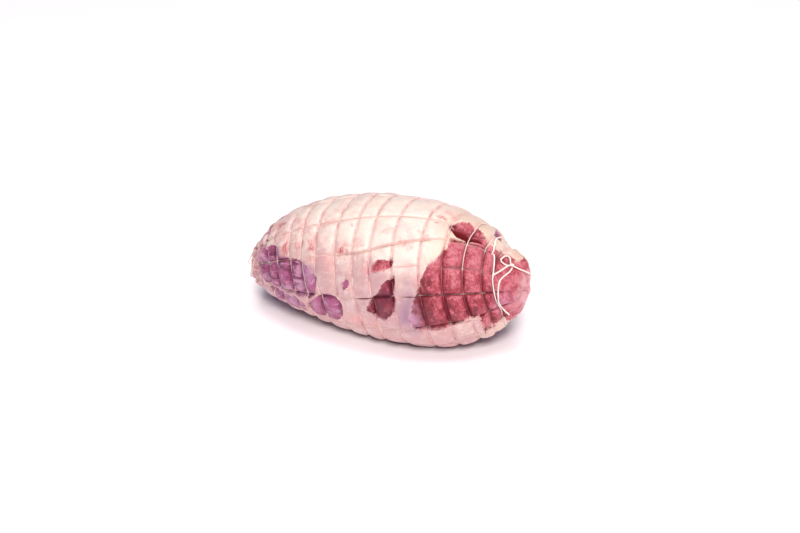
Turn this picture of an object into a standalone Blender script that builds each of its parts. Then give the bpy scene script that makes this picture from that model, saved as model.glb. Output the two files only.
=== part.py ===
"""A raw, boned and rolled leg of lamb in elastic butcher's netting, tied with twine at its thick end.

Metres, +Z up, +X along the roll towards its thick, cut end, -Y the side that shows its lean windows.
The origin is the middle of the underside. Every surface point is named by x along the roll and the
angle round it: 0 degrees faces -Y, 90 degrees is the top.
"""

from math import cos, pi, radians, sin

import bmesh
import bpy
import numpy as np
from mathutils import Vector

# The roll: a lemon shape, longer and lower towards its thin end
FULLEST_AT = 0.01255  # where the roll is widest, along X
THIN_LENGTH = 0.1384  # from there to the tip of the thin end, towards -X
THICK_LENGTH = 0.1133  # and to the tip of the thick end, towards +X
HALF_WIDTH = 0.0669
HEIGHT_SHARE = 0.92  # height of a section against its width
AXIS_HEIGHT = 0.0552  # of the roll's middle over the table
THIN_END_DROP = 0.0167  # how much lower the thin end's tip lies
THICK_END_SAG = 0.0029  # the thick half hangs a little between its middle and its tip
THIN_TAPER = 0.55
TABLE_SOFTNESS = 0.0015  # how gently the underside turns into its flat rest
# lumps and hollows of the thick end: x, angle, their spreads, height
SHOULDER = (0.086, 106, 0.009, 30, 0.0024)
WAIST = (0.100, 112, 0.007, 32, -0.0028)  # the tie draws it in
END_CUSHION = (0.114, 112, 0.006, 34, 0.0028)
HEEL = (0.104, -62, 0.010, 24, 0.0030)
LUMPS = (SHOULDER, WAIST, END_CUSHION, HEEL)

# The netting: elastic hoops and knitted lengthways strands, sunk into V-shaped grooves
HOOPS = (-0.108, -0.097, -0.086, -0.070, -0.057, -0.042, -0.0235, -0.006,
         0.0095, 0.029, 0.0525, 0.072, 0.0885, 0.102)
TIE_AT = 0.1095
HOOP_LEAN = 0.0135  # how far the top of a hoop leans towards the thin end
STRANDS = (1.5, 37.3, 68, 102, 136, 170, 203, 236, 268, 300, 331)  # angle at x = 0, in degrees
STRAND_TWIST = 200  # degrees per metre
FRONT_STRAND = 1
FRONT_TWIST = 380  # the strand under the crevice turns faster on the thick half
GROOVE_DEPTH = 0.0028
GROOVE_HALF_WIDTH = 0.0026
NET_WIDTH = 0.0013
NET_CLEARANCE = 0.0015  # from the bottom of the groove to the inner side of the netting
NET_THICKNESS = 0.0010

# The seam that gapes over the thick end
CREVICE_AT = (0.0745, 77)  # x and angle
CREVICE_SIZE = (0.034, 0.010, 0.022)  # long, wide, and twice its depth
CREVICE_TURN = 16  # degrees, away from the roll's own line

# The twine
TWINE = 0.0015
TIE_LIFT = 0.0017  # of its middle over the bottom of the groove
TIE_POINTS = 33
KNOT_AT = (0.1108, 77)
KNOT_RADIUS = 0.0020
KNOT_LIFT = 0.0027
LOOP_RADIUS = 0.0030
LINK_START = 50  # angle at which the link to the knot leaves the girdle
# x, angle and lift over the roll of the link to the knot, and of the short end beyond the knot
LINK = ((0.1050, 57, 0.0012), (0.1068, 64, 0.0018), (0.1088, 72, 0.0024))
SHORT_END = ((0.1130, 79, 0.0026), (0.1152, 82, 0.0024), (0.1178, 87, 0.0024), (0.1202, 98, 0.0030),
             (0.1216, 116, 0.0038))
# the long loose tail, from the knot down over the girdle and along the cut end
TAIL = ((0.1113, 71, 0.0024), (0.1106, 62, 0.0019), (0.1090, 52, 0.0016), (0.1068, 41, 0.0015),
        (0.1072, 29, 0.0014), (0.1084, 15, 0.0014), (0.1100, 1, 0.0014), (0.1120, -14, 0.0015),
        (0.1135, -27, 0.0016), (0.1144, -40, 0.0018))
TAIL_POINT_EVERY = 0.0043

TIP_ROWS = (0.0009, 0.0038, 0.0085)  # rings of the mesh this far from each tip


def clear_scene():
    for thing in list(bpy.data.objects):
        bpy.data.objects.remove(thing)


def material(name, colour, roughness):
    made = bpy.data.materials.new(name)
    made.use_nodes = True
    shader = made.node_tree.nodes["Principled BSDF"]
    shader.inputs["Base Color"].default_value = (*colour, 1)
    shader.inputs["Roughness"].default_value = roughness
    return made


def add_object(name, mesh, finish):
    made = bpy.data.objects.new(name, mesh)
    made.data.materials.append(finish)
    bpy.context.scene.collection.objects.link(made)
    return made


# ---- the form of the roll

def section(x):
    """(height of the middle, half width, half height) of the roll at x."""
    thin = np.clip((FULLEST_AT - x) / THIN_LENGTH, 0, 1)
    thick = np.clip((x - FULLEST_AT) / THICK_LENGTH, 0, 1)
    share = (1 - THIN_TAPER * thin**1.9) * (1 - thin**8) ** 0.25 * (1 - thick**2.6) ** 0.72
    middle = AXIS_HEIGHT - THIN_END_DROP * thin**3.4 - THICK_END_SAG * np.sin(pi * thick**2)
    return middle, HALF_WIDTH * share, HALF_WIDTH * HEIGHT_SHARE * share


def lump(x, angle, spec):
    at, at_angle, long, round_, height = spec
    turn = (np.degrees(angle) - at_angle + 180) % 360 - 180
    return height * np.exp(-(((x - at) / long) ** 2) - (turn / round_) ** 2)


def rest_on_table(z):
    """z, held at or over 0 with a soft turn."""
    soft = (z + TABLE_SOFTNESS) ** 2 / (4 * TABLE_SOFTNESS)
    return np.where(z >= TABLE_SOFTNESS, z, np.where(z <= -TABLE_SOFTNESS, 0, soft))


def skin(x, angle):
    """A point on the outside of the roll, over its grooves."""
    middle, half_width, half_height = section(x)
    swell = sum(lump(x, angle, spec) for spec in LUMPS)
    y = -(half_width + swell) * np.cos(angle)
    z = middle + (half_height + swell) * np.sin(angle)
    return np.stack(np.broadcast_arrays(x, y, rest_on_table(z)), -1)


def skin_normal(x, angle):
    step = 1e-5
    along = skin(x + step, angle) - skin(x - step, angle)
    around = skin(x, angle + step) - skin(x, angle - step)
    normal = np.cross(along, around)
    return normal / np.linalg.norm(normal, axis=-1, keepdims=True)


def over_skin(x, angle, lift):
    """A point lift metres over the skin, or under it where lift is negative."""
    return skin(x, angle) + skin_normal(x, angle) * np.asarray(lift)[..., None]


def leaned(line, angle):
    """x of a hoop line at an angle round the roll: its top leans towards the thin end."""
    reach = HOOP_LEAN * (1 - (line / (THIN_LENGTH - FULLEST_AT)) ** 8)
    high = np.sin(angle)
    return line - reach * np.where(high > 0, high, high * (1 + high))


def strand_angle(number, line):
    twist = STRAND_TWIST
    if number == FRONT_STRAND and line > 0:
        twist = FRONT_TWIST
    return radians(STRANDS[number] + twist * line)


def half_angle(width, line):
    """The angle that half of a width takes up round the roll."""
    return min(width / max(section(line)[1], 0.012), radians(9))


def columns(line, offsets, middles):
    """Angles round one ring: the offsets about each strand, then middles between it and the next."""
    angles = []
    for number in range(len(STRANDS)):
        here = strand_angle(number, line)
        after = strand_angle((number + 1) % len(STRANDS), line)
        after += 2 * pi if number + 1 == len(STRANDS) else 0
        angles += [here + half_angle(abs(o), line) * np.sign(o) for o in offsets]
        angles += [here + (after - here) * share for share in middles]
    return angles


# ---- meshes from grids of points

def grid_mesh(name, rows, start, end):
    """A closed body from rings of points, with a tip at each end."""
    count = len(rows[0])
    points = [tuple(p) for row in rows for p in row] + [tuple(start), tuple(end)]
    first, last = len(points) - 2, len(points) - 1
    faces = []
    for i in range(len(rows) - 1):
        for j in range(count):
            k = (j + 1) % count
            faces.append((i * count + j, (i + 1) * count + j, (i + 1) * count + k, i * count + k))
    bottom = (len(rows) - 1) * count
    for j in range(count):
        k = (j + 1) % count
        faces.append((first, j, k))
        faces.append((last, bottom + k, bottom + j))
    return finished_mesh(name, points, faces)


def finished_mesh(name, points, faces):
    mesh = bpy.data.meshes.new(name)
    mesh.from_pydata(points, [], faces)
    form = bmesh.new()
    form.from_mesh(mesh)
    bmesh.ops.recalc_face_normals(form, faces=form.faces)
    bmesh.ops.triangulate(form, faces=form.faces)
    form.to_mesh(mesh)
    form.free()
    return mesh


def lattice_mesh(name, inner, outer, kept):
    """A closed body: the kept squares of a ring-shaped grid, as thick as inner to outer."""
    rows, count = len(inner), len(inner[0])
    points = [tuple(p) for row in inner for p in row] + [tuple(p) for row in outer for p in row]
    lift = rows * count

    def corner(i, j):
        return i * count + j % count

    faces = []
    for i, j in sorted(kept):
        square = (corner(i, j), corner(i + 1, j), corner(i + 1, j + 1), corner(i, j + 1))
        faces.append(square[::-1])
        faces.append(tuple(p + lift for p in square))
        sides = (((i, j - 1), 0, 1), ((i + 1, j), 1, 2), ((i, j + 1), 2, 3), ((i - 1, j), 3, 0))
        for (row, column), a, b in sides:
            if (row, column % count) not in kept:
                faces.append((square[a], square[b], square[b] + lift, square[a] + lift))
    mesh = finished_mesh(name, points, faces)
    form = bmesh.new()
    form.from_mesh(mesh)
    loose = [v for v in form.verts if not v.link_faces]
    bmesh.ops.delete(form, geom=loose, context="VERTS")
    form.to_mesh(mesh)
    form.free()
    return mesh


def tube_mesh(name, points, radius, sides, closed):
    """A round tube along points, its ends capped unless it is closed."""
    points = [Vector(p) for p in points]
    count = len(points)
    rings = []
    across = None
    for i, here in enumerate(points):
        before = points[i - 1] if closed or i else here
        after = points[(i + 1) % count] if closed or i < count - 1 else here
        along = (after - before).normalized()
        if across is None:
            across = along.orthogonal().normalized()
        across = (across - along * across.dot(along)).normalized()
        beside = along.cross(across)
        rings.append([here + (across * cos(2 * pi * s / sides) + beside * sin(2 * pi * s / sides)) * radius
                      for s in range(sides)])
    flat = [tuple(p) for ring in rings for p in ring]
    faces = []
    for i in range(count if closed else count - 1):
        ahead = (i + 1) % count
        for s in range(sides):
            t = (s + 1) % sides
            faces.append((i * sides + s, i * sides + t, ahead * sides + t, ahead * sides + s))
    if not closed:
        faces.append(tuple(range(sides)))
        faces.append(tuple((count - 1) * sides + s for s in range(sides)))
    return finished_mesh(name, flat, faces)


def joined(base, extra):
    """base with the mesh of extra added to its solid; extra stays as a guide."""
    union = base.modifiers.new("with_" + extra.name, "BOOLEAN")
    union.operation = "UNION"
    union.object = extra
    as_guide(extra)


def as_guide(thing):
    thing.hide_render = True
    thing.display_type = "WIRE"


def smooth_route(points, spacing):
    """Points spacing apart along a smooth curve through the given ones."""
    points = [Vector(p) for p in points]
    padded = [points[0] * 2 - points[1]] + points + [points[-1] * 2 - points[-2]]
    fine = []
    for a, b, c, d in zip(padded, padded[1:], padded[2:], padded[3:]):
        for step in range(12):
            t = step / 12
            fine.append(0.5 * (2 * b + (c - a) * t + (2 * a - 5 * b + 4 * c - d) * t**2
                               + (3 * b - a - 3 * c + d) * t**3))
    fine.append(points[-1])
    reach = np.concatenate([[0], np.cumsum([(q - p).length for p, q in zip(fine, fine[1:])])])
    stops = np.linspace(0, reach[-1], int(round(reach[-1] / spacing)) + 1)
    xyz = np.array([tuple(p) for p in fine])
    return np.stack([np.interp(stops, reach, xyz[:, k]) for k in range(3)], -1)


def route_points(route):
    return [Vector(over_skin(x, radians(angle), lift)) for x, angle, lift in route]


# ---- the pieces

def groove_rows():
    """Each ring of the meat's mesh: its line along X, and whether it runs along a groove's bottom."""
    rows = [(-(THIN_LENGTH - FULLEST_AT) + d, False) for d in TIP_ROWS]
    for hoop in HOOPS + (TIE_AT,):
        rows.append((hoop - GROOVE_HALF_WIDTH, False))
        rows.append((hoop, True))
        rows.append((hoop + GROOVE_HALF_WIDTH, False))
    rows += [(FULLEST_AT + THICK_LENGTH - d, False) for d in reversed(TIP_ROWS)]
    return rows


def make_meat(finish):
    """The rolled meat: bulging between the netting's grooves, flat where it rests."""
    strand_reach = (HOOPS[0] - GROOVE_HALF_WIDTH, TIE_AT + GROOVE_HALF_WIDTH)
    rows = []
    for line, in_hoop in groove_rows():
        angles = columns(line, (-GROOVE_HALF_WIDTH, 0, GROOVE_HALF_WIDTH), (0.5,))
        in_reach = strand_reach[0] <= line <= strand_reach[1]
        row = []
        for number, angle in enumerate(angles):
            sunk = in_hoop or (in_reach and number % 4 == 1)
            row.append(over_skin(leaned(line, angle), angle, -GROOVE_DEPTH if sunk else 0.0))
        rows.append(row)
    start = skin(FULLEST_AT - THIN_LENGTH, 0.0)
    end = skin(FULLEST_AT + THICK_LENGTH, 0.0)
    meat = add_object("rolled_meat", grid_mesh("rolled_meat", rows, start, end), finish)
    meat.data.shade_smooth()
    meat.data.set_sharp_from_angle(angle=radians(30))
    seam = meat.modifiers.new("seam", "BOOLEAN")
    seam.operation = "DIFFERENCE"
    seam.object = make_crevice(finish)
    return meat


def make_crevice(finish):
    """The lens-shaped hollow where the roll's outer flap gapes."""
    x, angle = CREVICE_AT[0], radians(CREVICE_AT[1])
    mesh = bpy.data.meshes.new("seam_hollow")
    form = bmesh.new()
    bmesh.ops.create_uvsphere(form, u_segments=14, v_segments=8, radius=0.5)
    bmesh.ops.scale(form, verts=form.verts, vec=Vector(CREVICE_SIZE))
    form.to_mesh(mesh)
    form.free()
    hollow = add_object("seam_hollow", mesh, finish)
    hollow.location = skin(x, angle)
    hollow.rotation_euler = (angle - pi / 2, 0, radians(CREVICE_TURN))
    as_guide(hollow)
    return hollow


def make_netting(finish):
    """The netting as one knitted tube: hoops and strands sunk in the grooves."""
    inner, outer, kept = [], [], set()
    for number, hoop in enumerate(HOOPS):
        for line in (hoop - NET_WIDTH / 2, hoop + NET_WIDTH / 2):
            angles = np.array(columns(line, (-NET_WIDTH / 2, NET_WIDTH / 2), (0.5,)))
            x = leaned(line, angles)
            low = NET_CLEARANCE - GROOVE_DEPTH
            inner.append(over_skin(x, angles, np.full(len(angles), low)))
            outer.append(over_skin(x, angles, np.full(len(angles), low + NET_THICKNESS)))
        kept |= {(2 * number, column) for column in range(3 * len(STRANDS))}
        if number + 1 < len(HOOPS):
            kept |= {(2 * number + 1, 3 * strand) for strand in range(len(STRANDS))}
    return add_object("netting", lattice_mesh("netting", inner, outer, kept), finish)


def make_tie(finish):
    """The twine girdle in the last groove, its link to the knot, the knot, its loop and short end."""
    angles = np.linspace(0, 2 * pi, TIE_POINTS, endpoint=False)
    ring = over_skin(leaned(TIE_AT, angles), angles, np.full(TIE_POINTS, TIE_LIFT - GROOVE_DEPTH))
    tie = add_object("twine_tie", tube_mesh("twine_tie", ring, TWINE / 2, 6, closed=True), finish)
    knot_x, knot_angle = KNOT_AT[0], radians(KNOT_AT[1])
    knot = Vector(over_skin(knot_x, knot_angle, KNOT_LIFT))

    lump_mesh = bpy.data.meshes.new("twine_knot")
    form = bmesh.new()
    bmesh.ops.create_icosphere(form, subdivisions=1, radius=KNOT_RADIUS)
    form.to_mesh(lump_mesh)
    form.free()
    knot_lump = add_object("twine_knot", lump_mesh, finish)
    knot_lump.location = knot

    start = radians(LINK_START)
    start = Vector(over_skin(leaned(TIE_AT, start), start, TIE_LIFT - GROOVE_DEPTH))
    link_mesh = tube_mesh("twine_link", [start] + route_points(LINK) + [knot], TWINE / 2, 6, closed=False)
    link = add_object("twine_link", link_mesh, finish)
    end_mesh = tube_mesh("twine_end", [knot] + route_points(SHORT_END), TWINE / 2, 6, closed=False)
    short_end = add_object("twine_end", end_mesh, finish)

    up = Vector(skin_normal(knot_x, knot_angle))
    side = Vector((-1, 0, 0)).cross(up).normalized()
    away = up.cross(side).normalized()
    centre = knot - away * LOOP_RADIUS + up * LOOP_RADIUS * 0.3
    around = [centre + (away * cos(a) + side * sin(a)) * LOOP_RADIUS + up * sin(a / 2) * LOOP_RADIUS * 0.5
              for a in np.linspace(0, 2 * pi, 12, endpoint=False)]
    loop = add_object("twine_loop", tube_mesh("twine_loop", around, TWINE / 2, 6, closed=True), finish)
    for extra in (link, knot_lump, loop, short_end):
        joined(tie, extra)
    return tie


def make_tail(finish):
    """The loose end of the twine, lying on the meat."""
    name = "twine_tail"
    points = smooth_route(route_points(TAIL), TAIL_POINT_EVERY)
    line = bpy.data.curves.new(name, "CURVE")
    line.dimensions = "3D"
    line.bevel_depth = TWINE / 2
    line.bevel_resolution = 2
    line.use_fill_caps = True
    spline = line.splines.new("POLY")
    spline.points.add(len(points) - 1)
    for point, place in zip(spline.points, points):
        point.co = (*place, 1)
    return add_object(name, line, finish)


def main():
    clear_scene()
    meat = material("raw_meat", (0.66, 0.30, 0.31), 0.45)
    net = material("elastic_netting", (0.90, 0.78, 0.73), 0.7)
    twine = material("cotton_twine", (0.93, 0.86, 0.80), 0.8)
    make_meat(meat)
    make_netting(net)
    make_tie(twine)
    make_tail(twine)


main()
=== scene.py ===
"""The looks of a raw, boned and rolled leg of lamb in elastic netting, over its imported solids.

Metres, +Z up. The roll lies along X with its thick, cut end at +X; its lean windows face -Y. A place on
its surface is named by x and by the angle round it: 0 degrees faces -Y and 90 degrees is the top.
"""

from math import cos, pi, radians, sin

import bmesh
import bpy
import numpy as np
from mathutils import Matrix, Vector, noise


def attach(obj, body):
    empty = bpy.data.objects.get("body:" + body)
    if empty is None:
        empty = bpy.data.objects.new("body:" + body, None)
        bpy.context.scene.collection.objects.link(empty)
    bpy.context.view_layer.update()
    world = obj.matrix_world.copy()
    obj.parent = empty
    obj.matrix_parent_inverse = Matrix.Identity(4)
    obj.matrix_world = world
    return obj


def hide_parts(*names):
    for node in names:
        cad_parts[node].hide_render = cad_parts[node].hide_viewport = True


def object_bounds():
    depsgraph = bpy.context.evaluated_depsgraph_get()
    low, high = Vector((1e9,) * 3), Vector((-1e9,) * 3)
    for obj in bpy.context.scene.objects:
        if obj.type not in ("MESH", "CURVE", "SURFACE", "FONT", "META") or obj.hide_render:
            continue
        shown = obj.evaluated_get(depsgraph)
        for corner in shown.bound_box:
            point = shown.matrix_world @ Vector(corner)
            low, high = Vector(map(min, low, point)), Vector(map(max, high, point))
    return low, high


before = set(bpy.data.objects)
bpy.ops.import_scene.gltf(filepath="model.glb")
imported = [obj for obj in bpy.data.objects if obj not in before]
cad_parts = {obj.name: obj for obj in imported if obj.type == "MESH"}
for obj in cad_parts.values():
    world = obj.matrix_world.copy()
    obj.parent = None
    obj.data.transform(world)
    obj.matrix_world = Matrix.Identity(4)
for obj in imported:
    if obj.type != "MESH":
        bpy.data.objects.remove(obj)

bl_info = {
    "name": "Netted leg of lamb",
    "version": (1, 0, 0),
    "blender": (4, 5, 0),
    "location": "3D View > Sidebar > Lamb",
    "description": "Models a raw rolled leg of lamb with its fat, lean, netting and twine",
    "category": "Add Mesh",
}

MM = 0.001
CAD_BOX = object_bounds()


def linear(hex_text):
    """An sRGB hex colour as linear red, green and blue."""
    parts = [int(hex_text[i:i + 2], 16) / 255 for i in (1, 3, 5)]
    return tuple(p / 12.92 if p <= 0.04045 else ((p + 0.055) / 1.055) ** 2.4 for p in parts)


# ---- the form of the roll, as its solid has it

FULLEST_AT = 0.01255
THIN_LENGTH = 0.1384
THICK_LENGTH = 0.1133
HALF_WIDTH = 0.0669
HEIGHT_SHARE = 0.92
AXIS_HEIGHT = 0.0552
THIN_END_DROP = 0.0167
THICK_END_SAG = 0.0029
THIN_TAPER = 0.55
TABLE_SOFTNESS = 0.0015
END_BULGE = (0.117, 122, 0.008, 32, 0.0034)  # where the cut end swells beyond the tie
NECK_FAT = (0.1050, 114, 0.0045, 26, 0.0036)  # fat pushed up between the tie and the cut end
END_FULLNESS = 0.0018
THIN_TIP = FULLEST_AT - THIN_LENGTH
THICK_TIP = FULLEST_AT + THICK_LENGTH
# lumps and hollows of the thick end: x, angle, their spreads, height
LUMPS = (
    (0.086, 106, 0.009, 30, 0.0024),
    (0.100, 112, 0.007, 32, -0.0028),
    (0.114, 112, 0.006, 34, 0.0028),
    (0.104, -62, 0.010, 24, 0.0030),
)
HOOPS = (-0.108, -0.097, -0.086, -0.070, -0.057, -0.042, -0.0235, -0.006,
         0.0095, 0.029, 0.0525, 0.072, 0.0885, 0.102)
# slack hoops drawn together at the thin end, and how far each stands off the meat
GATHERED_HOOPS = (-0.1125, -0.1155, -0.1185, -0.1210, -0.1232)
GATHERED_SLACK = (0.5 * MM, 1.2 * MM, 1.0 * MM, 2.2 * MM, 4.4 * MM)
TIE_AT = 0.1095
TIE_PULL = 0.0065  # how far the girdle is drawn back over the top
HOOP_LEAN = 0.0135
STRANDS = (1.5, 37.3, 68, 102, 136, 170, 203, 236, 268, 300, 331)
STRAND_TWIST = 200
FRONT_STRAND = 1
FRONT_TWIST = 380
# a strand of the thick half only: its angle at x = 0, its twist and the line where it starts
HALF_STRAND = 24.0
HALF_TWIST = 235
HALF_START = 0.030


def wrapped(angle):
    """The same angle, from minus half a turn to half a turn."""
    return (angle + pi) % (2 * pi) - pi


def unit(vectors):
    return vectors / np.linalg.norm(vectors, axis=-1, keepdims=True)


def smooth_step(low, high, value):
    """0 up to low and 1 from high on, with a smooth rise between; it falls where low is over high."""
    share = np.clip((value - low) / (high - low), 0, 1)
    return share * share * (3 - 2 * share)


def section(x):
    """(height of the middle, half width, half height) of the roll at x."""
    thin = np.clip((FULLEST_AT - x) / THIN_LENGTH, 0, 1)
    thick = np.clip((x - FULLEST_AT) / THICK_LENGTH, 0, 1)
    share = (1 - THIN_TAPER * thin**1.9) * (1 - thin**8) ** 0.25 * (1 - thick**2.6) ** 0.72
    middle = AXIS_HEIGHT - THIN_END_DROP * thin**3.4 - THICK_END_SAG * np.sin(pi * thick**2)
    return middle, HALF_WIDTH * share, HALF_WIDTH * HEIGHT_SHARE * share


def lump(x, angle, spec):
    at, at_angle, long, round_, height = spec
    turn = (np.degrees(angle) - at_angle + 180) % 360 - 180
    return height * np.exp(-(((x - at) / long) ** 2) - (turn / round_) ** 2)


def rest_on_table(z):
    """z, held at or over 0 with a soft turn."""
    soft = (z + TABLE_SOFTNESS) ** 2 / (4 * TABLE_SOFTNESS)
    return np.where(z >= TABLE_SOFTNESS, z, np.where(z <= -TABLE_SOFTNESS, 0, soft))


def skin(x, angle):
    """A point on the outside of the roll, over its grooves."""
    middle, half_width, half_height = section(x)
    swell = sum(lump(x, angle, spec) for spec in LUMPS)
    y = -(half_width + swell) * np.cos(angle)
    z = middle + (half_height + swell) * np.sin(angle)
    return np.stack(np.broadcast_arrays(x, y, rest_on_table(z)), -1)


def skin_normal(x, angle):
    step = 1e-5
    along = skin(x + step, angle) - skin(x - step, angle)
    around = skin(x, angle + step) - skin(x, angle - step)
    normal = np.cross(along, around)
    return normal / np.maximum(np.linalg.norm(normal, axis=-1, keepdims=True), 1e-12)


def over_skin(x, angle, lift):
    """A point lift metres over the skin, or under it where lift is negative."""
    return skin(x, angle) + skin_normal(x, angle) * np.asarray(lift)[..., None]


def leaned(line, angle):
    """x of a hoop line at an angle round the roll: its top leans towards the thin end."""
    reach = HOOP_LEAN * (1 - (line / -THIN_TIP) ** 8)
    high = np.sin(angle)
    return line - reach * np.where(high > 0, high, high * (1 + high))


def strand_angles(line):
    """The angle of every strand at each line, one row a strand, and a last row one turn on."""
    line = np.asarray(line, float)
    rows = []
    for number, start in enumerate(STRANDS):
        twist = np.where((number == FRONT_STRAND) & (line > 0), FRONT_TWIST, STRAND_TWIST)
        rows.append(np.radians(start + twist * line))
    rows.append(rows[0] + 2 * pi)
    return np.array(rows)


def half_strand_angle(line):
    return np.radians(HALF_STRAND + HALF_TWIST * line)


# ---- fat and lean: outlines on the surface, each point (x in mm, angle in degrees)

THICK_END_LEAN = ((64, 68), (63, 56), (58, 47), (54, 40), (50, 32), (49, 22), (47, 11), (44, 2), (42, -8),
                  (43, -18), (50, -22), (61, -20), (72, -18), (80, -14), (88, -8), (95, -6), (97, -16),
                  (97, -46), (104, -34), (112, -40), (128, -60), (128, 110), (112, 92), (103, 92),
                  (96, 84), (90, 82), (80, 74), (72, 71))
UPPER_WINDOW = ((6, 28), (11, 34), (21, 37), (23, 34), (21, 30), (17, 26), (10, 24), (7, 25))
LOWER_WINDOW = ((26, 26), (29, 6), (29, -5), (20, -15), (9, -11), (4, -6), (10, 4), (20, 18))
SMALL_WINDOW = ((-19, 11), (-16, 15), (-13, 15), (-12, 9), (-15, 6), (-18, 6))
THIN_END_LEAN = ((-112, 38), (-105, 40), (-94, 41), (-86, 36), (-83, 26), (-72, 24), (-62, 24), (-54, 19),
                 (-48, 15), (-44, 11), (-44, 3), (-44, -3), (-50, -13), (-62, -14), (-72, -13),
                 (-84, -14), (-98, -12), (-108, 0), (-114, 16))
BELLY_LEAN = ((-52, -18), (-44, -9), (-39, -4), (-31, -1), (-24, -3), (-19, -11), (-20, -24), (-30, -34),
              (-46, -34), (-54, -26))
UNDER_LEAN = ((-98, -14), (-84, -17), (-66, -17), (-56, -22), (-58, -40), (-74, -44), (-92, -36))
BACK_LEAN = ((-60, 182), (-40, 196), (-18, 200), (-4, 190), (-8, 176), (-30, 168), (-52, 170))
BACK_WINDOW = ((30, 160), (44, 166), (52, 158), (46, 148), (34, 150))
BACK_END_LEAN = ((80, 190), (92, 200), (104, 214), (124, 214), (124, 150), (108, 156), (94, 168))
BASE_LEAN = ((-6, 262), (18, 276), (40, 270), (44, 254), (20, 244), (0, 248))
SKIN_STRIP = ((85, 125), (92, 125), (96, 102), (90, 102))
# bare lean covers the thick end from here on, a little later at the back
END_LEAN_FROM = 0.1105
END_LEAN_SLANT = 0.003
RED_WINDOWS = (THICK_END_LEAN, UPPER_WINDOW, BACK_END_LEAN, BACK_WINDOW, LOWER_WINDOW)
PURPLE_WINDOWS = (THIN_END_LEAN, BELLY_LEAN, UNDER_LEAN, BACK_LEAN, BASE_LEAN, SKIN_STRIP, SMALL_WINDOW)
# the gaping seam lies between two arches, each from its start by its turn to its end: a low lip, and the
# fat's edge over a sloping cut face
SEAM_LIP = ((57, 79), (68, 70), (90, 80))
SEAM_BROW = ((57, 80), (72, 95), (90, 86))
SEAM_OPENS = (57 * MM, 62 * MM)
SEAM_CLOSES = (91 * MM, 87 * MM)
SEAM_DEPTH = 9 * MM
SLOT_SHARE = 0.72  # of the seam's depth, that the dark slot takes; the cut face over it takes the rest
# pink stains on the fat: x in mm, angle, radius in mm
STAINS = ((-53, 44, 6), (-24, 38, 6), (-62, 50, 4), (-92, 57, 6), (-84, 50, 5), (52, 94, 4), (-35, 30, 6),
          (-8, -24, 9), (-70, 62, 7), (20, 120, 7), (-40, 140, 9), (60, -40, 8), (28, 51, 5), (44, 60, 4),
          (-100, 70, 8), (-46, 60, 5), (12, 58, 4), (-12, 44, 4))
BLOOD_SPOTS = ((-80, 33, 4.2), (-66.5, 37, 3.4), (-23, 36, 3.0), (-53, 37, 2.6), (-93, 66, 3), (47, 84, 2.4),
               (-30, 168, 4), (66, 150, 4), (-70, 150, 3))


# the netting's grooves: their depths in fat, how much deeper they are in lean, their half widths, and
# how far the meat stays low beside them
HOOP_DEPTH = 1.1 * MM
HOOP_DEEPER = 1.9 * MM
STRAND_DEPTH = 0.6 * MM
STRAND_DEEPER = 1.8 * MM
HOOP_GROOVE = 1.8 * MM
STRAND_GROOVE = 1.25 * MM
HOOP_SHOULDER = 3.8 * MM
STRAND_SHOULDER = 5 * MM
PAINTED_SHADE_REACH = 5.5 * MM  # how far the painted shade beside a hoop reaches over the lean
# the fat cover's step over the strand that crosses the front
LEDGE_HEIGHT = 1.8 * MM
LEDGE_HOLLOW = 1.3 * MM
LEDGE_WIDTH = 9 * MM


def wander(places, size, seed):
    """Smooth noise from about -1 to 1 at each place, in lumps of that size."""
    offset = Vector((seed * 17.3, seed * -9.1, seed * 5.7))
    return np.array([noise.noise(Vector(p) / size + offset) for p in places.reshape(-1, 3)])


def inside_distance(x, across, radius, outline):
    """How far inside an outline each point is, in metres; negative outside."""
    corners = np.array(outline, float)
    middle = radians(corners[:, 1].mean())
    turn = wrapped(across - middle) + middle
    u, v = x, turn * radius
    nearest = np.full(x.shape, 1e9)
    inside = np.zeros(x.shape, bool)
    for (ax, aa), (bx, ba) in zip(corners, np.roll(corners, -1, axis=0)):
        au, av = ax * MM, radians(aa) * radius
        bu, bv = bx * MM, radians(ba) * radius
        du, dv = bu - au, bv - av
        share = np.clip(((u - au) * du + (v - av) * dv) / (du**2 + dv**2), 0, 1)
        nearest = np.minimum(nearest, (u - au - share * du) ** 2 + (v - av - share * dv) ** 2)
        crosses = (av > v) != (bv > v)
        inside ^= crosses & (u < au + (v - av) * du / np.where(dv == 0, 1e-12, dv))
    distance = np.sqrt(nearest)
    return np.where(inside, distance, -distance)


def arch(x, edge):
    """The angle along an edge that bends smoothly at its turn."""
    (start, start_angle), (turn, turn_angle), (end, end_angle) = edge
    before = np.clip((turn - x) / (turn - start), 0, 1) ** 1.5 * (start_angle - turn_angle)
    after = np.clip((x - turn) / (end - turn), 0, 1) ** 1.5 * (end_angle - turn_angle)
    return np.radians(turn_angle + before + after)


PROFILE_AT = np.linspace(THIN_TIP, THICK_TIP, 400)
PROFILE_SLOPE = np.gradient(section(PROFILE_AT)[1], PROFILE_AT[1] - PROFILE_AT[0])
STEEPEST = 3  # the steepest slope that counts, near the tips


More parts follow.
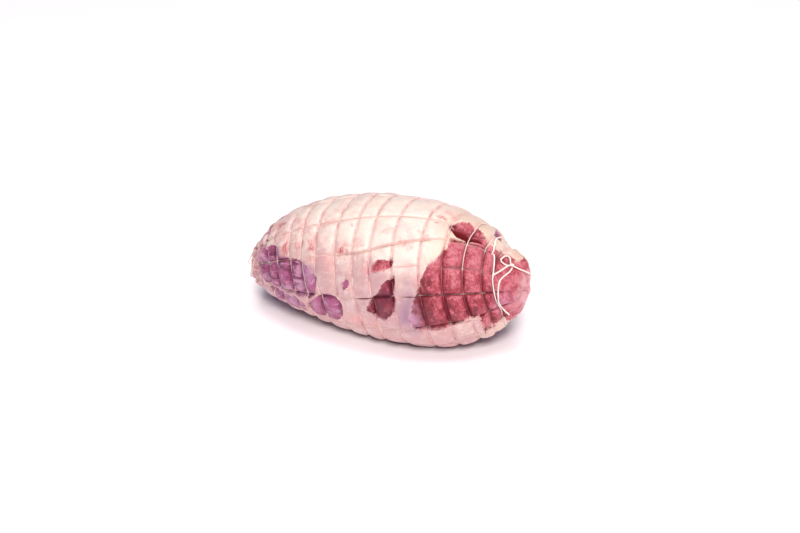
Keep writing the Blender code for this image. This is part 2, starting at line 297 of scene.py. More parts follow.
class Surface:
    """The finished surface of the meat at given lines and angles: its lift over the skin and its fields."""

    def __init__(self, line, angle, rough=True):
        self.line, self.angle = line.ravel(), angle.ravel()
        self.x = leaned(self.line, self.angle)
        self.place = skin(self.x, self.angle)
        self.radius = np.maximum(section(self.x)[1], 8 * MM)
        slope = np.interp(self.x, PROFILE_AT, PROFILE_SLOPE)
        self.stretch = np.sqrt(1 + np.minimum(slope**2, STEEPEST**2))
        self.broad = wander(self.place, 34 * MM, 1)
        self.middling = wander(self.place, 11 * MM, 2)
        self.fine = wander(self.place, 3.6 * MM, 3)
        self.find_windows()
        self.find_grooves()
        self.find_lift(rough)

    def find_windows(self):
        shifted = self.place + np.array([0.05, 0.02, 0.03])
        other = wander(shifted, 9 * MM, 4)
        tight = wander(shifted, 4.2 * MM, 5)
        x = self.x + (1.5 * self.middling + 1.1 * tight) * MM
        across = self.angle + (1.5 * other + 1.0 * self.fine) * MM / self.radius

        def inside(outlines):
            return np.max([inside_distance(x, across, self.radius, outline) for outline in outlines], axis=0)

        end_edge = END_LEAN_FROM + END_LEAN_SLANT * (1 - np.cos(self.angle - radians(20)))
        red = np.maximum(inside(RED_WINDOWS), (x - end_edge) * self.stretch)
        purple = inside(PURPLE_WINDOWS)
        streaks = wander(self.place * np.array([2.4, 0.8, 0.8]), 9 * MM, 6)
        gathered = smooth_step(-99 * MM, -108 * MM, self.x)
        streaked = ((streaks - 0.02) * 7 * MM + 0.4 * MM) * gathered - 6 * MM * (1 - gathered)
        purple = np.maximum(purple, streaked)
        lip, brow = arch(self.x / MM, SEAM_LIP), arch(self.x / MM, SEAM_BROW)
        turned = (self.angle + pi / 2) % (2 * pi) - pi / 2
        self.seam_share = (turned - lip + 0.6 * MM * self.fine / self.radius) / np.maximum(brow - lip, 0.01)
        self.seam_ends = smooth_step(*SEAM_OPENS, self.x) * smooth_step(*SEAM_CLOSES, self.x)
        in_seam = np.minimum(self.seam_share, 1 - self.seam_share) * (brow - lip) * self.radius
        cut_face = np.where(self.seam_ends > 0, in_seam, -8 * MM)
        self.lean = np.maximum(np.maximum(red, purple), cut_face)
        self.purple = smooth_step(-3 * MM, 3 * MM, purple - np.maximum(red, cut_face))
        self.seam_top = 0.50 - 0.16 * smooth_step(66 * MM, 84 * MM, self.x) + 0.06 * self.fine
        # the seam's dark slot, painted near black as shade
        self.seam_shade = self.seam_ends * smooth_step(0.0, 0.06, self.seam_share)
        self.seam_shade *= smooth_step(self.seam_top + 0.08, self.seam_top - 0.02, self.seam_share)
        self.crimson = smooth_step(-3 * MM, 1 * MM, inside((LOWER_WINDOW,)))

    def find_grooves(self):
        away = np.min([np.abs(self.line - h) for h in HOOPS + GATHERED_HOOPS + (TIE_AT,)], axis=0)
        self.hoop_away = away * self.stretch
        angles = strand_angles(self.line)
        turns = wrapped(self.angle - angles)
        nearest = np.min(np.abs(turns), axis=0)
        extra = half_strand_angle(self.line)
        extra_turn = np.abs(wrapped(self.angle - extra))
        nearest = np.where(self.line > HALF_START, np.minimum(nearest, extra_turn), nearest)
        self.strand_away = nearest * self.radius
        self.over_front = turns[FRONT_STRAND] * self.radius
        reach = smooth_step(THIN_TIP + 2 * MM, HOOPS[0], self.line)
        reach *= 1 - smooth_step(TIE_AT + 2 * MM, TIE_AT + 8 * MM, self.line)
        self.hoop_groove = np.exp(-(self.hoop_away / HOOP_GROOVE) ** 1.6)
        self.strand_groove = np.exp(-(self.strand_away / STRAND_GROOVE) ** 1.6) * reach
        self.press = np.maximum(self.hoop_groove, self.strand_groove)
        row = np.searchsorted(HOOPS, self.line)
        last_hoop = np.array((THIN_TIP,) + HOOPS)[row]
        past_hoop = (self.line - last_hoop) * self.stretch
        # painted shade: the lean is darker just past each hoop, where each cell of the netting turns from the
        # light
        self.painted_shade = np.exp(-past_hoop / PAINTED_SHADE_REACH) * (1 + 0.7 * self.middling) * (self.line < TIE_AT)
        column = np.argmin(np.where(turns > 0, turns, 9), axis=0)
        chance = np.sin(row * 12.9898 + column * 78.233) * 43758.5453
        self.cell = (chance - np.floor(chance)) * 2 - 1
        self.cell *= 1 - self.press

    def find_lift(self, rough):
        in_lean = smooth_step(-0.9 * MM, 0.8 * MM, self.lean)
        lift = -np.maximum((HOOP_DEPTH + HOOP_DEEPER * in_lean) * self.hoop_groove,
                           (STRAND_DEPTH + STRAND_DEEPER * in_lean) * self.strand_groove)
        pillow = 1 - np.exp(-self.hoop_away / HOOP_SHOULDER)
        pillow *= 1 - np.exp(-self.strand_away / STRAND_SHOULDER)
        low = smooth_step(0.2, -0.5, np.sin(self.angle))
        lift += ((1.0 + 0.9 * low + 2.1 * in_lean) * pillow - 1.0 - 0.9 * in_lean) * MM
        lift += 0.35 * MM * self.cell * pillow
        lift -= 1.3 * MM * in_lean * (1 - 0.35 * self.purple)
        lift += (0.9 * self.broad + 0.6 * self.middling) * MM
        lift += lump(self.x, self.angle, END_BULGE) + lump(self.x, self.angle, NECK_FAT)
        lift += END_FULLNESS * np.exp(-((self.x - 0.119) / 0.005) ** 2)
        ledge = smooth_step(-0.3 * MM, 1.2 * MM, self.over_front)
        ledge *= np.exp(-np.maximum(self.over_front, 0) / LEDGE_WIDTH)
        under = np.exp(-(((self.over_front + 1.0 * MM) / (1.6 * MM)) ** 2))
        span = smooth_step(-34 * MM, -18 * MM, self.x) * smooth_step(52 * MM, 40 * MM, self.x)
        lift += (LEDGE_HEIGHT * ledge - LEDGE_HOLLOW * under) * span
        gathered = smooth_step(-101 * MM, -112 * MM, self.x)
        pleats = np.sin(13 * self.angle + 5 * self.middling)
        lift += 0.5 * MM * pleats * gathered * smooth_step(THIN_TIP, THIN_TIP + 3 * MM, self.x)
        if rough:
            lift += (0.14 + 0.20 * in_lean) * self.fine * MM
            opened = smooth_step(0.0, 0.10, self.seam_share)
            slot = opened * smooth_step(self.seam_top, self.seam_top - 0.13, self.seam_share)
            face = opened * smooth_step(1.0, self.seam_top, self.seam_share)
            lift -= SEAM_DEPTH * (SLOT_SHARE * slot + (1 - SLOT_SHARE) * face) * self.seam_ends
            rim = np.exp(-((self.lean + 1.3 * MM) / (1.0 * MM)) ** 2) * (1 - self.seam_shade)
            lift += 0.35 * MM * rim
        tip_away = np.minimum(self.x - THIN_TIP, THICK_TIP - self.x)
        lift *= smooth_step(-0.5 * MM, 1.5 * MM, tip_away)
        underside = smooth_step(6 * MM, 0, self.place[:, 2])
        self.lift = lift * (1 - underside) + np.minimum(lift, 0) * underside

    def points(self, extra=0.0):
        return over_skin(self.x, self.angle, self.lift + extra)


# ---- meshes made from grids

def mesh_of(form, name):
    mesh = bpy.data.meshes.new(name)
    form.to_mesh(mesh)
    form.free()
    return mesh


def wrapped_grid(name, rows, columns, shape):
    """A grid bent into a closed skin. shape(p, q) gives points and fields for p and q from 0 to 1."""
    form = bmesh.new()
    bmesh.ops.create_grid(form, x_segments=rows, y_segments=columns, size=0.5)
    mesh = mesh_of(form, name)
    flat = np.empty(len(mesh.vertices) * 3)
    mesh.vertices.foreach_get("co", flat)
    p, q = flat.reshape(-1, 3)[:, 0] + 0.5, flat.reshape(-1, 3)[:, 1] + 0.5
    points, fields = shape(np.clip(p, 0, 1), np.clip(q, 0, 1))
    mesh.vertices.foreach_set("co", points.ravel())
    for field, values in fields.items():
        layer = mesh.attributes.new(field, "FLOAT", "POINT")
        layer.data.foreach_set("value", np.asarray(values, np.float32))
    form = bmesh.new()
    form.from_mesh(mesh)
    bmesh.ops.remove_doubles(form, verts=form.verts, dist=2e-6)
    bmesh.ops.recalc_face_normals(form, faces=form.faces)
    form.to_mesh(mesh)
    form.free()
    mesh.shade_smooth()
    return mesh


def tube_frames(path, closed):
    """(sideways, upward) directions along a path, turning as little as they can."""
    ahead = np.roll(path, -1, axis=0) - np.roll(path, 1, axis=0)
    if not closed:
        ahead[0], ahead[-1] = path[1] - path[0], path[-1] - path[-2]
    ahead = unit(ahead)
    side = np.empty_like(ahead)
    start = np.cross(ahead[0], (0.0, 0.0, 1.0))
    side[0] = unit(start) if np.linalg.norm(start) > 0.1 else (0.0, 1.0, 0.0)
    for i in range(1, len(path)):
        side[i] = unit(side[i - 1] - ahead[i] * np.dot(ahead[i], side[i - 1]))
    if closed:
        end = side[-1] - ahead[0] * np.dot(ahead[0], side[-1])
        up = np.cross(ahead[0], side[0])
        drift = np.arctan2(np.dot(end, up), np.dot(end, side[0]))
        turn = -drift * np.arange(len(path)) / len(path)
        other = np.cross(ahead, side)
        side = side * np.cos(turn)[:, None] + other * np.sin(turn)[:, None]
    return side, np.cross(ahead, side)


def columns_between(stops, known, values):
    """Each column of values, known at some stops, at other stops."""
    return np.stack([np.interp(stops, known, column) for column in values.T], -1)


def resampled(path, spacing, closed):
    """The same path with its points evenly spacing apart."""
    path = np.asarray(path, float)
    whole = np.vstack([path, path[:1]]) if closed else path
    reach = np.concatenate([[0], np.cumsum(np.linalg.norm(np.diff(whole, axis=0), axis=1))])
    count = max(int(round(reach[-1] / spacing)), 4)
    stops = np.linspace(0, reach[-1], count + 1)
    if closed:
        stops = stops[:-1]
    return columns_between(stops, reach, whole)


def yarn_mesh(name, path, radius, plies=3, pitch=4 * MM, groove=0.16, sides=12, closed=False, flat=1.0,
              soak=None):
    """A twisted yarn along a path: its plies wind round it once a pitch. soak is how stained each part is."""
    path = np.asarray(path, float)
    side, up = tube_frames(path, closed)
    step = np.linalg.norm(np.diff(path, axis=0), axis=1).mean()
    turns = len(path) * step / pitch
    if closed:
        turns = round(turns)
    count = len(path)

    def shape(p, q):
        rows = count if closed else count + 1
        row = np.rint(p * rows).astype(int)
        index = row % count if closed else np.clip(row - 1, 0, count - 1)
        around = 2 * pi * np.rint(q * sides) / sides
        wound = 2 * pi * turns * index / count
        thick = radius * (1 - groove + groove * np.cos(plies * (around - wound)))
        if not closed:
            thick = np.where((row == 0) | (row == rows), 0, thick)
        offset = side[index] * (np.cos(around) * thick)[:, None]
        offset += up[index] * (np.sin(around) * thick * flat)[:, None]
        stained = np.full(len(p), 0.3) if soak is None else np.asarray(soak)[index]
        return path[index] + offset, {"twist": (around - wound) * plies / (2 * pi), "soak": stained}

    rows = count if closed else count + 1
    return wrapped_grid(name, rows, sides, shape)


def joined_mesh(name, meshes):
    """Several meshes as one, with their attributes."""
    form = bmesh.new()
    for mesh in meshes:
        form.from_mesh(mesh)
        bpy.data.meshes.remove(mesh)
    mesh = mesh_of(form, name)
    mesh.shade_smooth()
    return mesh


def add_piece(name, mesh, finish, nodes):
    """A piece of the object, riding on its one body and standing for CAD nodes."""
    piece = bpy.data.objects.new(name, mesh)
    mesh.materials.append(finish)
    bpy.context.scene.collection.objects.link(piece)
    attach(piece, "root")
    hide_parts(*nodes)
    return piece


# ---- materials

def feed(tree, node, inputs):
    """Gives a node its inputs: a socket is linked and a value is set."""
    for key, value in inputs.items():
        if isinstance(value, bpy.types.NodeSocket):
            tree.links.new(value, node.inputs[key])
        else:
            node.inputs[key].default_value = value


def add_node(tree, kind, inputs, **settings):
    node = tree.nodes.new(kind)
    for key, value in settings.items():
        setattr(node, key, value)
    feed(tree, node, inputs)
    return node


class Mixer:
    """Short ways to build one material's tree. A map or a mix takes a socket or a value."""

    def __init__(self, name):
        self.material = bpy.data.materials.new(name)
        self.material.use_nodes = True
        self.tree = self.material.node_tree
        self.shader = self.tree.nodes["Principled BSDF"]
        self.coordinates = add_node(self.tree, "ShaderNodeTexCoord", {}).outputs["Object"]

    def field(self, name):
        return add_node(self.tree, "ShaderNodeAttribute", {}, attribute_name=name).outputs["Fac"]

    def noise(self, size_mm, detail=3.0, rough=0.5, stretch=(1, 1, 1), distortion=0.0):
        scaled = add_node(self.tree, "ShaderNodeMapping", {"Vector": self.coordinates, "Scale": stretch})
        return add_node(self.tree, "ShaderNodeTexNoise",
                        {"Vector": scaled.outputs[0], "Scale": 1000 / size_mm, "Detail": detail,
                         "Roughness": rough, "Distortion": distortion}).outputs["Fac"]

    def range(self, value, low, high, to_low=0.0, to_high=1.0):
        return add_node(self.tree, "ShaderNodeMapRange",
                        {"Value": value, "From Min": low, "From Max": high, "To Min": to_low,
                         "To Max": to_high}, interpolation_type="SMOOTHSTEP").outputs["Result"]

    def math(self, operation, a, b=0.0, c=0.0):
        return add_node(self.tree, "ShaderNodeMath", {0: a, 1: b, 2: c}, operation=operation).outputs[0]

    def sum(self, total, *others):
        for other in others:
            total = self.math("ADD", total, other)
        return total

    def times(self, a, b):
        return self.math("MULTIPLY", a, b)

    def blend(self, *parts):
        """The sum of some values, each times its share."""
        return self.sum(*(self.times(value, share) for value, share in parts))

    def colour(self, factor, a, b):
        """Colour a where factor is 0 and b where it is 1."""
        a = a if isinstance(a, bpy.types.NodeSocket) else (*a, 1)
        b = b if isinstance(b, bpy.types.NodeSocket) else (*b, 1)
        return add_node(self.tree, "ShaderNodeMix", {0: factor, 6: a, 7: b}, data_type="RGBA").outputs[2]

    def bump(self, height, distance, strength=1.0, under=None):
        inputs = {"Height": height, "Distance": distance, "Strength": strength}
        if under is not None:
            inputs["Normal"] = under
        return add_node(self.tree, "ShaderNodeBump", inputs).outputs["Normal"]

    def finish(self, colour, roughness, normal, **others):
        """The material. The names of other inputs have _ for each space."""
        inputs = {key.replace("_", " "): value for key, value in others.items()}
        inputs |= {"Base Color": colour, "Roughness": roughness, "Normal": normal}
        feed(self.tree, self.shader, inputs)
        return self.material


def meat_material(s):
    """Raw lamb: soft creamy fat, moist red and purple lean, silvery film and a gaping seam. Shade is painted
    into the colour: in the seam, down the sides, in the netting's creases and beside the hoops.
    """
    m = Mixer("raw_lamb_fat_and_lean")
    broad = m.noise(26, 2)
    middling = m.noise(8, 3)
    fine = m.noise(2.2, 3, 0.6)
    grain = m.noise(1.1, 3, 0.65)
    press = m.field("press")

    # fat: cream on top, rosier and darker down the sides, where the rosy tint is the fat's own and the
    # darkening is painted shade; buttery at the thick end, stained along the netting
    blush_and_side_shade = m.sum(m.field("blush_and_side_shade"), m.range(broad, 0.32, 0.68, -0.25, 0.25),
                  m.range(middling, 0.35, 0.65, -0.16, 0.16))
    fat = m.colour(m.range(blush_and_side_shade, -0.1, 1.1), s.fat_colour, s.rosy_shaded_fat_colour)
    fat = m.colour(m.range(m.field("butter"), 0.0, 1.0, 0.0, 0.8), fat, s.buttery_fat_colour)
    smears = m.range(m.noise(7, 4, 0.65, (0.5, 1, 1), 0.5), 0.52, 0.72, 0.0, 0.6)
    fat = m.colour(m.times(smears, m.range(m.field("blush_and_side_shade"), 0.0, 0.6, 0.25, 1.0)), fat, s.stain_colour)
    clouds = m.noise(4, 3, 0.6, (1.6, 1, 0.6), 0.6)
    stain = m.times(m.range(m.field("stain"), 0.05, 0.8), m.range(clouds, 0.38, 0.62, 0.15, 0.8))
    fat = m.colour(stain, fat, s.stain_colour)
    blood = m.times(m.range(m.field("blood"), 0.1, 0.8), m.range(clouds, 0.38, 0.6, 0.25, 0.9))
    fat = m.colour(blood, fat, s.blood_colour)
    fat = m.colour(m.range(press, 0.2, 1.0, 0.0, 0.6), fat, s.pressed_fat_colour)
    veins = m.math("ABSOLUTE", m.math("SUBTRACT", m.noise(9, 3, 0.6, (1, 1, 1.6), 1.0), 0.5))
    veins = m.times(m.range(veins, 0.0, 0.02, 1.0, 0.0), m.range(m.noise(18, 2), 0.48, 0.62))
    fat = m.colour(m.times(veins, 0.35), fat, s.stain_colour)
    lace = m.range(m.noise(3.4, 4, 0.7, (1, 1, 1), 0.8), 0.54, 0.66, 0.0, 0.4)
    fat = m.colour(lace, fat, s.white_film_colour)
    fat = m.colour(m.field("end"), fat, s.end_fat_colour)
    # mauve film over the fat, and a broad patch on the front of the fat darkened as painted shade
    fat = m.colour(m.field("film_and_front_shade"), fat, s.membrane_and_shade_colour)

    # lean: bundles of fibre cut across, flecked with pale film
    clumps = m.noise(4.5, 3, 0.6, (1, 1, 0.6), 0.8)
    tone = m.blend((middling, 0.45), (clumps, 0.5), (fine, 0.4), (m.field("cell"), 0.03))
    # the lean is darkened just past each hoop, painted shade
    tone = m.sum(tone, m.math("MULTIPLY_ADD", m.field("pale"), 0.115, -0.055), m.times(m.field("painted_shade"), -0.13))
    lean = m.colour(m.range(tone, 0.44, 0.6), s.dark_lean_colour, s.lean_colour)
    lean = m.colour(m.range(tone, 0.56, 0.74), lean, s.pale_lean_colour)
    flecks = m.range(m.blend((grain, 0.7), (middling, 0.3)), 0.56, 0.68, 0.0, 0.6)
    lean = m.colour(flecks, lean, s.marbling_colour)
    fibres = m.noise(1.5, 2, 0.6, (1, 1, 0.22), 0.4)
    lean = m.colour(m.range(fibres, 0.5, 0.62, 0.0, 0.3), lean, s.deep_lean_and_crease_shade_colour)
    # the purple lean is darkened just past each hoop too, painted shade
    long_tone = m.sum(m.noise(5.5, 3, 0.6, (0.3, 1, 1), 0.6),
                      m.math("MULTIPLY_ADD", m.field("painted_shade"), -0.16, 0.03))
    purple = m.colour(m.range(long_tone, 0.36, 0.6), s.dark_purple_colour, s.purple_colour)
    purple = m.colour(m.range(fine, 0.56, 0.7, 0.0, 0.35), purple, s.lilac_colour)
    strips = m.range(m.noise(4.2, 3, 0.6, (0.28, 1, 1), 1.2), 0.54, 0.64, 0.0, 0.8)
    purple = m.colour(strips, purple, s.lilac_colour)
    crimson = m.times(m.field("crimson"), m.range(clumps, 0.36, 0.6, 0.95, 0.35))
    lean = m.colour(crimson, lean, s.crimson_colour)
    lean = m.colour(m.field("purple"), lean, purple)
    film = m.times(m.field("film"), m.range(middling, 0.3, 0.6, 0.35, 1.0))
    lean = m.colour(m.range(film, 0.0, 1.0, 0.0, 0.8), lean, s.lilac_colour)
    tip = m.times(m.field("tip"), m.range(middling, 0.3, 0.6, 0.4, 0.9))
    lean = m.colour(tip, lean, s.tip_colour)
    # lean darkened in the netting's grooves, painted shade in the creases
    crease_shade = m.times(m.range(press, 0.3, 1.0, 0.0, 0.6), m.range(m.field("purple"), 0.0, 1.0, 1.0, 0.45))
    lean = m.colour(crease_shade, lean, s.deep_lean_and_crease_shade_colour)

    ragged = m.sum(m.field("lean"), m.range(fine, 0.25, 0.75, -0.8, 0.8))
    lean_share = m.range(ragged, -0.45, 0.45)
    rim = m.times(m.range(ragged, -0.2, 0.5), m.range(ragged, 0.7, 2.0, 1.0, 0.0))
    lean = m.colour(m.times(rim, m.range(middling, 0.45, 0.6, 0.0, 0.5)), lean, s.marbling_colour)
    colour = m.colour(lean_share, fat, lean)
    # the gaping seam's inside painted dark as shade
    colour = m.colour(m.range(m.field("seam_shade"), 0.1, 0.8, 0.0, 0.92), colour, s.seam_shade_colour)

    wrinkles = m.bump(middling, 0.6 * MM, 0.6)
    fat_relief = m.bump(m.noise(3.2, 4, 0.6), 0.35 * MM, 0.7, wrinkles)
    lean_relief = m.bump(m.blend((fine, 0.8), (grain, 0.6)), 0.9 * MM, 0.8, wrinkles)
    normal = add_node(m.tree, "ShaderNodeMix", {0: lean_share, 4: fat_relief, 5: lean_relief},
                      data_type="VECTOR").outputs[1]
    roughness = m.range(fine, 0.3, 0.7, s.wetness, s.wetness + 0.18)
    roughness = m.math("MAXIMUM", roughness, m.field("seam_shade"))
    return m.finish(colour, roughness, normal, Subsurface_Weight=0.12, Subsurface_Radius=(1.0, 0.4, 0.3),
                    Subsurface_Scale=2 * MM, Specular_IOR_Level=0.45, Coat_Weight=0.12, Coat_Roughness=0.22)


def yarn_material(name, clean, stained, relief, fuzz=0.12):
    """Cotton yarn: pale plies with darker gaps between them, stained in patches by the meat."""
    m = Mixer(name)
    ply = m.range(m.math("COSINE", m.times(m.field("twist"), 2 * pi)), -1.0, 0.2, 1.0, 0.0)
    fibres = m.noise(0.5, 3, 0.7)
    soak = m.sum(m.field("soak"), m.range(m.noise(7, 2), 0.35, 0.65, -0.15, 0.15))
    colour = m.colour(m.range(soak, 0.0, 1.0), clean, stained)
    colour = m.colour(m.times(ply, 0.22), colour, stained)
    colour = m.colour(m.range(fibres, 0.3, 0.7, 0.0, fuzz), colour, (1.0, 0.98, 0.96))
    normal = m.bump(fibres, relief, 0.6)
    return m.finish(colour, 0.72, normal, Sheen_Weight=fuzz, Subsurface_Weight=0.1, Subsurface_Scale=0.6 * MM)


# ---- what a user can change

def length_property(name, description, default):
    return bpy.props.FloatProperty(name=name, description=description, default=default, unit="LENGTH")


def colour_property(name, description, hex_text):
    return bpy.props.FloatVectorProperty(name=name, description=description, subtype="COLOR", size=3,
                                         min=0, max=1, default=linear(hex_text))


class MeatSettings(bpy.types.PropertyGroup):
    rows: bpy.props.IntProperty(name="Rows", description="Rings of the mesh along the roll", default=350,
                                min=80)
    columns: bpy.props.IntProperty(name="Columns", description="Columns of the mesh between two strands",
                                   default=24, min=6)
    wetness: bpy.props.FloatProperty(name="Lowest roughness", default=0.36, min=0, max=1, subtype="FACTOR",
                                     description="Roughness where the meat is wettest")
    fat_colour: colour_property("Fat", "Fat cover on top", "#e9dacf")
    # rosy fat, darker than the top's, standing for painted shade down the sides
    rosy_shaded_fat_colour: colour_property("Rosy fat", "Fat low on the sides", "#c8a09f")
    buttery_fat_colour: colour_property("Buttery fat", "Fat by the thick end", "#dac1ad")
    pressed_fat_colour: colour_property("Pressed fat", "Fat under the netting", "#dfa29e")
    stain_colour: colour_property("Stained fat", "Pink stains on the fat", "#dd9c99")
    white_film_colour: colour_property("White film", "Thin film on the fat", "#f2e6de")
    lean_colour: colour_property("Lean", "Red lean of the cut end", "#ae3f50")
    dark_lean_colour: colour_property("Dark lean", "Deepest red of the lean", "#7a1a2b")
    pale_lean_colour: colour_property("Pale lean", "Lightest pink of the lean", "#cc717c")
    # the deepest lean, also painted as shade in the netting's creases
    deep_lean_and_crease_shade_colour: colour_property("Pressed lean", "Lean under the netting", "#5c1220")
    marbling_colour: colour_property("Marbling", "Film and fat between fibres", "#dfa3a5")
    purple_colour: colour_property("Purple lean", "Lean under silvery film", "#a9557f")
    dark_purple_colour: colour_property("Dark purple lean", "Deepest purple", "#70244a")
    lilac_colour: colour_property("Silvery film", "Lilac film over lean", "#c596b2")
    # colour painted into the seam's inside as its shade
    seam_shade_colour: colour_property("Seam", "Inside of the gaping seam", "#780f19")
    tip_colour: colour_property("Tips", "Pale film over both tips", "#e2b0b5")
    end_fat_colour: colour_property("End fat", "Fat folded in at the tie", "#d9bbab")
    # mauve membrane colour, used also as painted shade on the front of the fat
    membrane_and_shade_colour: colour_property("Membrane", "Mauve membrane over low fat", "#a07c93")
    crimson_colour: colour_property("Crimson lean", "Lean of the lower window", "#6c1a38")
    blood_colour: colour_property("Blood spots", "Red spots on the fat", "#b8505a")


class NetSettings(bpy.types.PropertyGroup):
    hoop_radius: length_property("Hoop radius", "Half the thickness of a hoop", 0.6 * MM)
    strand_radius: length_property("Strand yarn radius", "Half a strand yarn", 0.32 * MM)
    stitch: length_property("Stitch", "Length of one knitted stitch", 3.4 * MM)
    colour: colour_property("Netting", "Clean netting", "#fbeae2")
    stained_colour: colour_property("Stained netting", "Netting soaked by the meat", "#a83240")
    strand_colour: colour_property("Strands", "Clean lengthways yarn", "#ecd0c4")
    strand_stain: colour_property("Stained strands", "Lengthways yarn soaked by the meat", "#4f1828")


class TwineSettings(bpy.types.PropertyGroup):
    diameter: length_property("Diameter", "Thickness of the twine", 1.5 * MM)
    pitch: length_property("Pitch", "Length of one turn of its plies", 5 * MM)
    colour: colour_property("Twine", "Clean cotton", "#fff8f0")
    stained_colour: colour_property("Stained twine", "Cotton soaked by the meat", "#edc0b8")


class StageSettings(bpy.types.PropertyGroup):
    azimuth: bpy.props.FloatProperty(name="Azimuth", description="Camera's turn from the front",
                                     default=radians(21), subtype="ANGLE")
    elevation: bpy.props.FloatProperty(name="Elevation", description="Camera's height angle",
                                       default=radians(28), subtype="ANGLE")
    distance: length_property("Distance", "Camera to the roll", 1.61)
    floor_colour: colour_property("Floor", "Pale floor", "#d2cfd5")
    daylight_colour: colour_property("Daylight", "Soft light all round", "#d4d0ff")
    lamp_colour: colour_property("Lamp", "Large soft lamp", "#fff8f0")


# ---- the pieces

def concentrated(low, high, centres, spread, strength, steepness=None):
    """A map from 0-1 to low-high that passes slowly by each of the centres, and where the form is steep."""
    at = np.linspace(low, high, 4000)
    density = 1 + strength * sum(np.exp(-(((at - c) / spread) ** 2)) for c in centres)
    if steepness is not None:
        density = density * steepness(at)
    reach = np.concatenate([[0], np.cumsum((density[1:] + density[:-1]) / 2)])
    reach /= reach[-1]
    return lambda share: np.interp(share, reach, at)


def steepness(x):
    """Length on the surface for each length of x."""
    return np.sqrt(1 + np.clip(np.gradient(section(x)[1], x), -14, 14) ** 2)


def meat_shape(p, q):
    """The surface of the meat for a grid of p along and q round the roll, and its fields."""
    to_line = concentrated(THIN_TIP, THICK_TIP, HOOPS + GATHERED_HOOPS + (TIE_AT,), 2.6 * MM, 1.1, steepness)
    line = to_line(p)
    gaps = len(STRANDS)
    to_share = concentrated(0, 1, (0, 1), 0.09, 1.6)
    gap = np.clip(np.floor(q * gaps + 1e-6), 0, gaps - 1).astype(int)
    share = to_share(np.clip(q * gaps - gap, 0, 1))
    angles = strand_angles(line)
    index = np.arange(len(q))
    angle = angles[gap, index] * (1 - share) + angles[gap + 1, index] * share
    surface = Surface(line, angle)
    points = surface.points()
    row_step = 1 / round(1 / np.diff(np.unique(np.round(p, 6))).min())
    for at_tip, beside in ((p < 1e-6, np.abs(p - row_step) < 1e-6),
                           (p > 1 - 1e-6, np.abs(p - 1 + row_step) < 1e-6)):
        points[at_tip] = points[beside].mean(axis=0)
    return points, meat_fields(surface)


def patches(surface, spots):
    """How strongly each point lies in one of the spots, from 0 to 1."""
    strength = np.zeros(len(surface.x))
    for x_mm, at, radius_mm in spots:
        turn = wrapped(surface.angle - radians(at))
        away = np.hypot((surface.x - x_mm * MM) * 0.8, turn * surface.radius) / (radius_mm * MM)
        away = away * (1 + 0.8 * surface.fine + 0.7 * surface.middling)
        strength = np.maximum(strength, np.exp(-np.abs(away) ** 1.6))
    return strength


def meat_fields(surface):
    """What the meat's material reads at each point, by name."""
    x = surface.x
    high = np.sin(surface.angle)
    degrees = np.degrees(wrapped(surface.angle))

    def spot(along, at, long, round_):
        """A soft spot at a place, with its spread along the roll and in degrees round it."""
        return np.exp(-(((x - along) / long) ** 2) - ((degrees - at) / round_) ** 2)

    # rosier and darker down the sides: the rosy tint is the fat's own, the darkening is painted shade
    blush_and_side_shade = 0.92 - 0.92 * smooth_step(0.25, 0.88, high)
    blush_and_side_shade += 0.35 * smooth_step(-0.045, -0.10, x) + 0.15 * surface.middling
    blush_and_side_shade -= 0.16 * surface.cell
    pale = smooth_step(20, 60, degrees) - 0.6 * smooth_step(25, 0, degrees)
    pale -= 0.7 * smooth_step(66 * MM, 56 * MM, x) * smooth_step(45, 25, degrees)
    pale = np.where(x > 0.1, 0.2, pale)
    # the lean's tone is darker inside the gaping seam, painted shade
    inside_seam = surface.seam_ends * smooth_step(0.0, 0.1, surface.seam_share)
    pale -= 0.9 * inside_seam * smooth_step(1.1, 1.0, surface.seam_share)
    butter = smooth_step(0.03, 0.075, x) * smooth_step(0.1, 0.8, high)
    butter *= 1 - 0.7 * smooth_step(0.09, 0.1, x)
    film = spot(0.042, -9, 0.010, 18)
    film += 0.4 * smooth_step(-0.062, -0.072, x) * smooth_step(0.0, -0.25, high)
    film += 0.9 * spot(-0.053, 14, 0.009, 9)
    film += 0.6 * spot(0.113, 6, 0.008, 22)
    on_lean = smooth_step(-1 * MM, 0.5 * MM, surface.lean)
    left = smooth_step(-0.036, -0.050, x)
    film += 0.75 * smooth_step(0.0, 0.4, surface.middling) * surface.purple * on_lean * left
    tip = smooth_step(0.1165, 0.1225, x) + 0.8 * smooth_step(-0.104, -0.115, x)
    # the film over the fat, and a broad spot on its front that is painted shade
    film_and_front_shade = 0.9 * film + 0.30 * spot(0.024, 6, 0.030, 24)
    film_and_front_shade = film_and_front_shade * (1 - on_lean) * (0.8 + 0.6 * surface.middling)
    return {
        "lean": np.clip(surface.lean / MM, -8, 8),
        "purple": surface.purple,
        "press": surface.press,
        "seam_shade": surface.seam_shade,
        "cell": surface.cell,
        "blush_and_side_shade": np.clip(blush_and_side_shade, 0, 1.2),
        "butter": np.clip(np.maximum(butter, spot(0.104, -55, 0.012, 24)), 0, 1),
        "stain": patches(surface, STAINS),
        "blood": patches(surface, BLOOD_SPOTS),
        "painted_shade": np.clip(surface.painted_shade, 0, 1.3),
        "film": np.clip(film, 0, 1),
        "film_and_front_shade": np.clip(film_and_front_shade, 0, 1),
        "tip": np.clip(tip, 0, 1),
        "end": smooth_step(0.099, 0.109, x) * smooth_step(0.0, 0.5, high),
        "crimson": surface.crimson,
        "pale": pale,
    }


# lines of the last hoops and of the girdle, and the angle that each is clean from
CLEAN_FROM = ((0.0885, 0.102, 0.1025), (42, 75, -22))
PROUD_HOOP = 0.7 * MM  # how much higher a hoop lies where it's clean or crosses purple lean


def round_the_roll(whole):
    """From 0 at the front up to a whole turn, for each of the places that shape a hoop."""
    return np.linspace(0, whole, 260, endpoint=False)


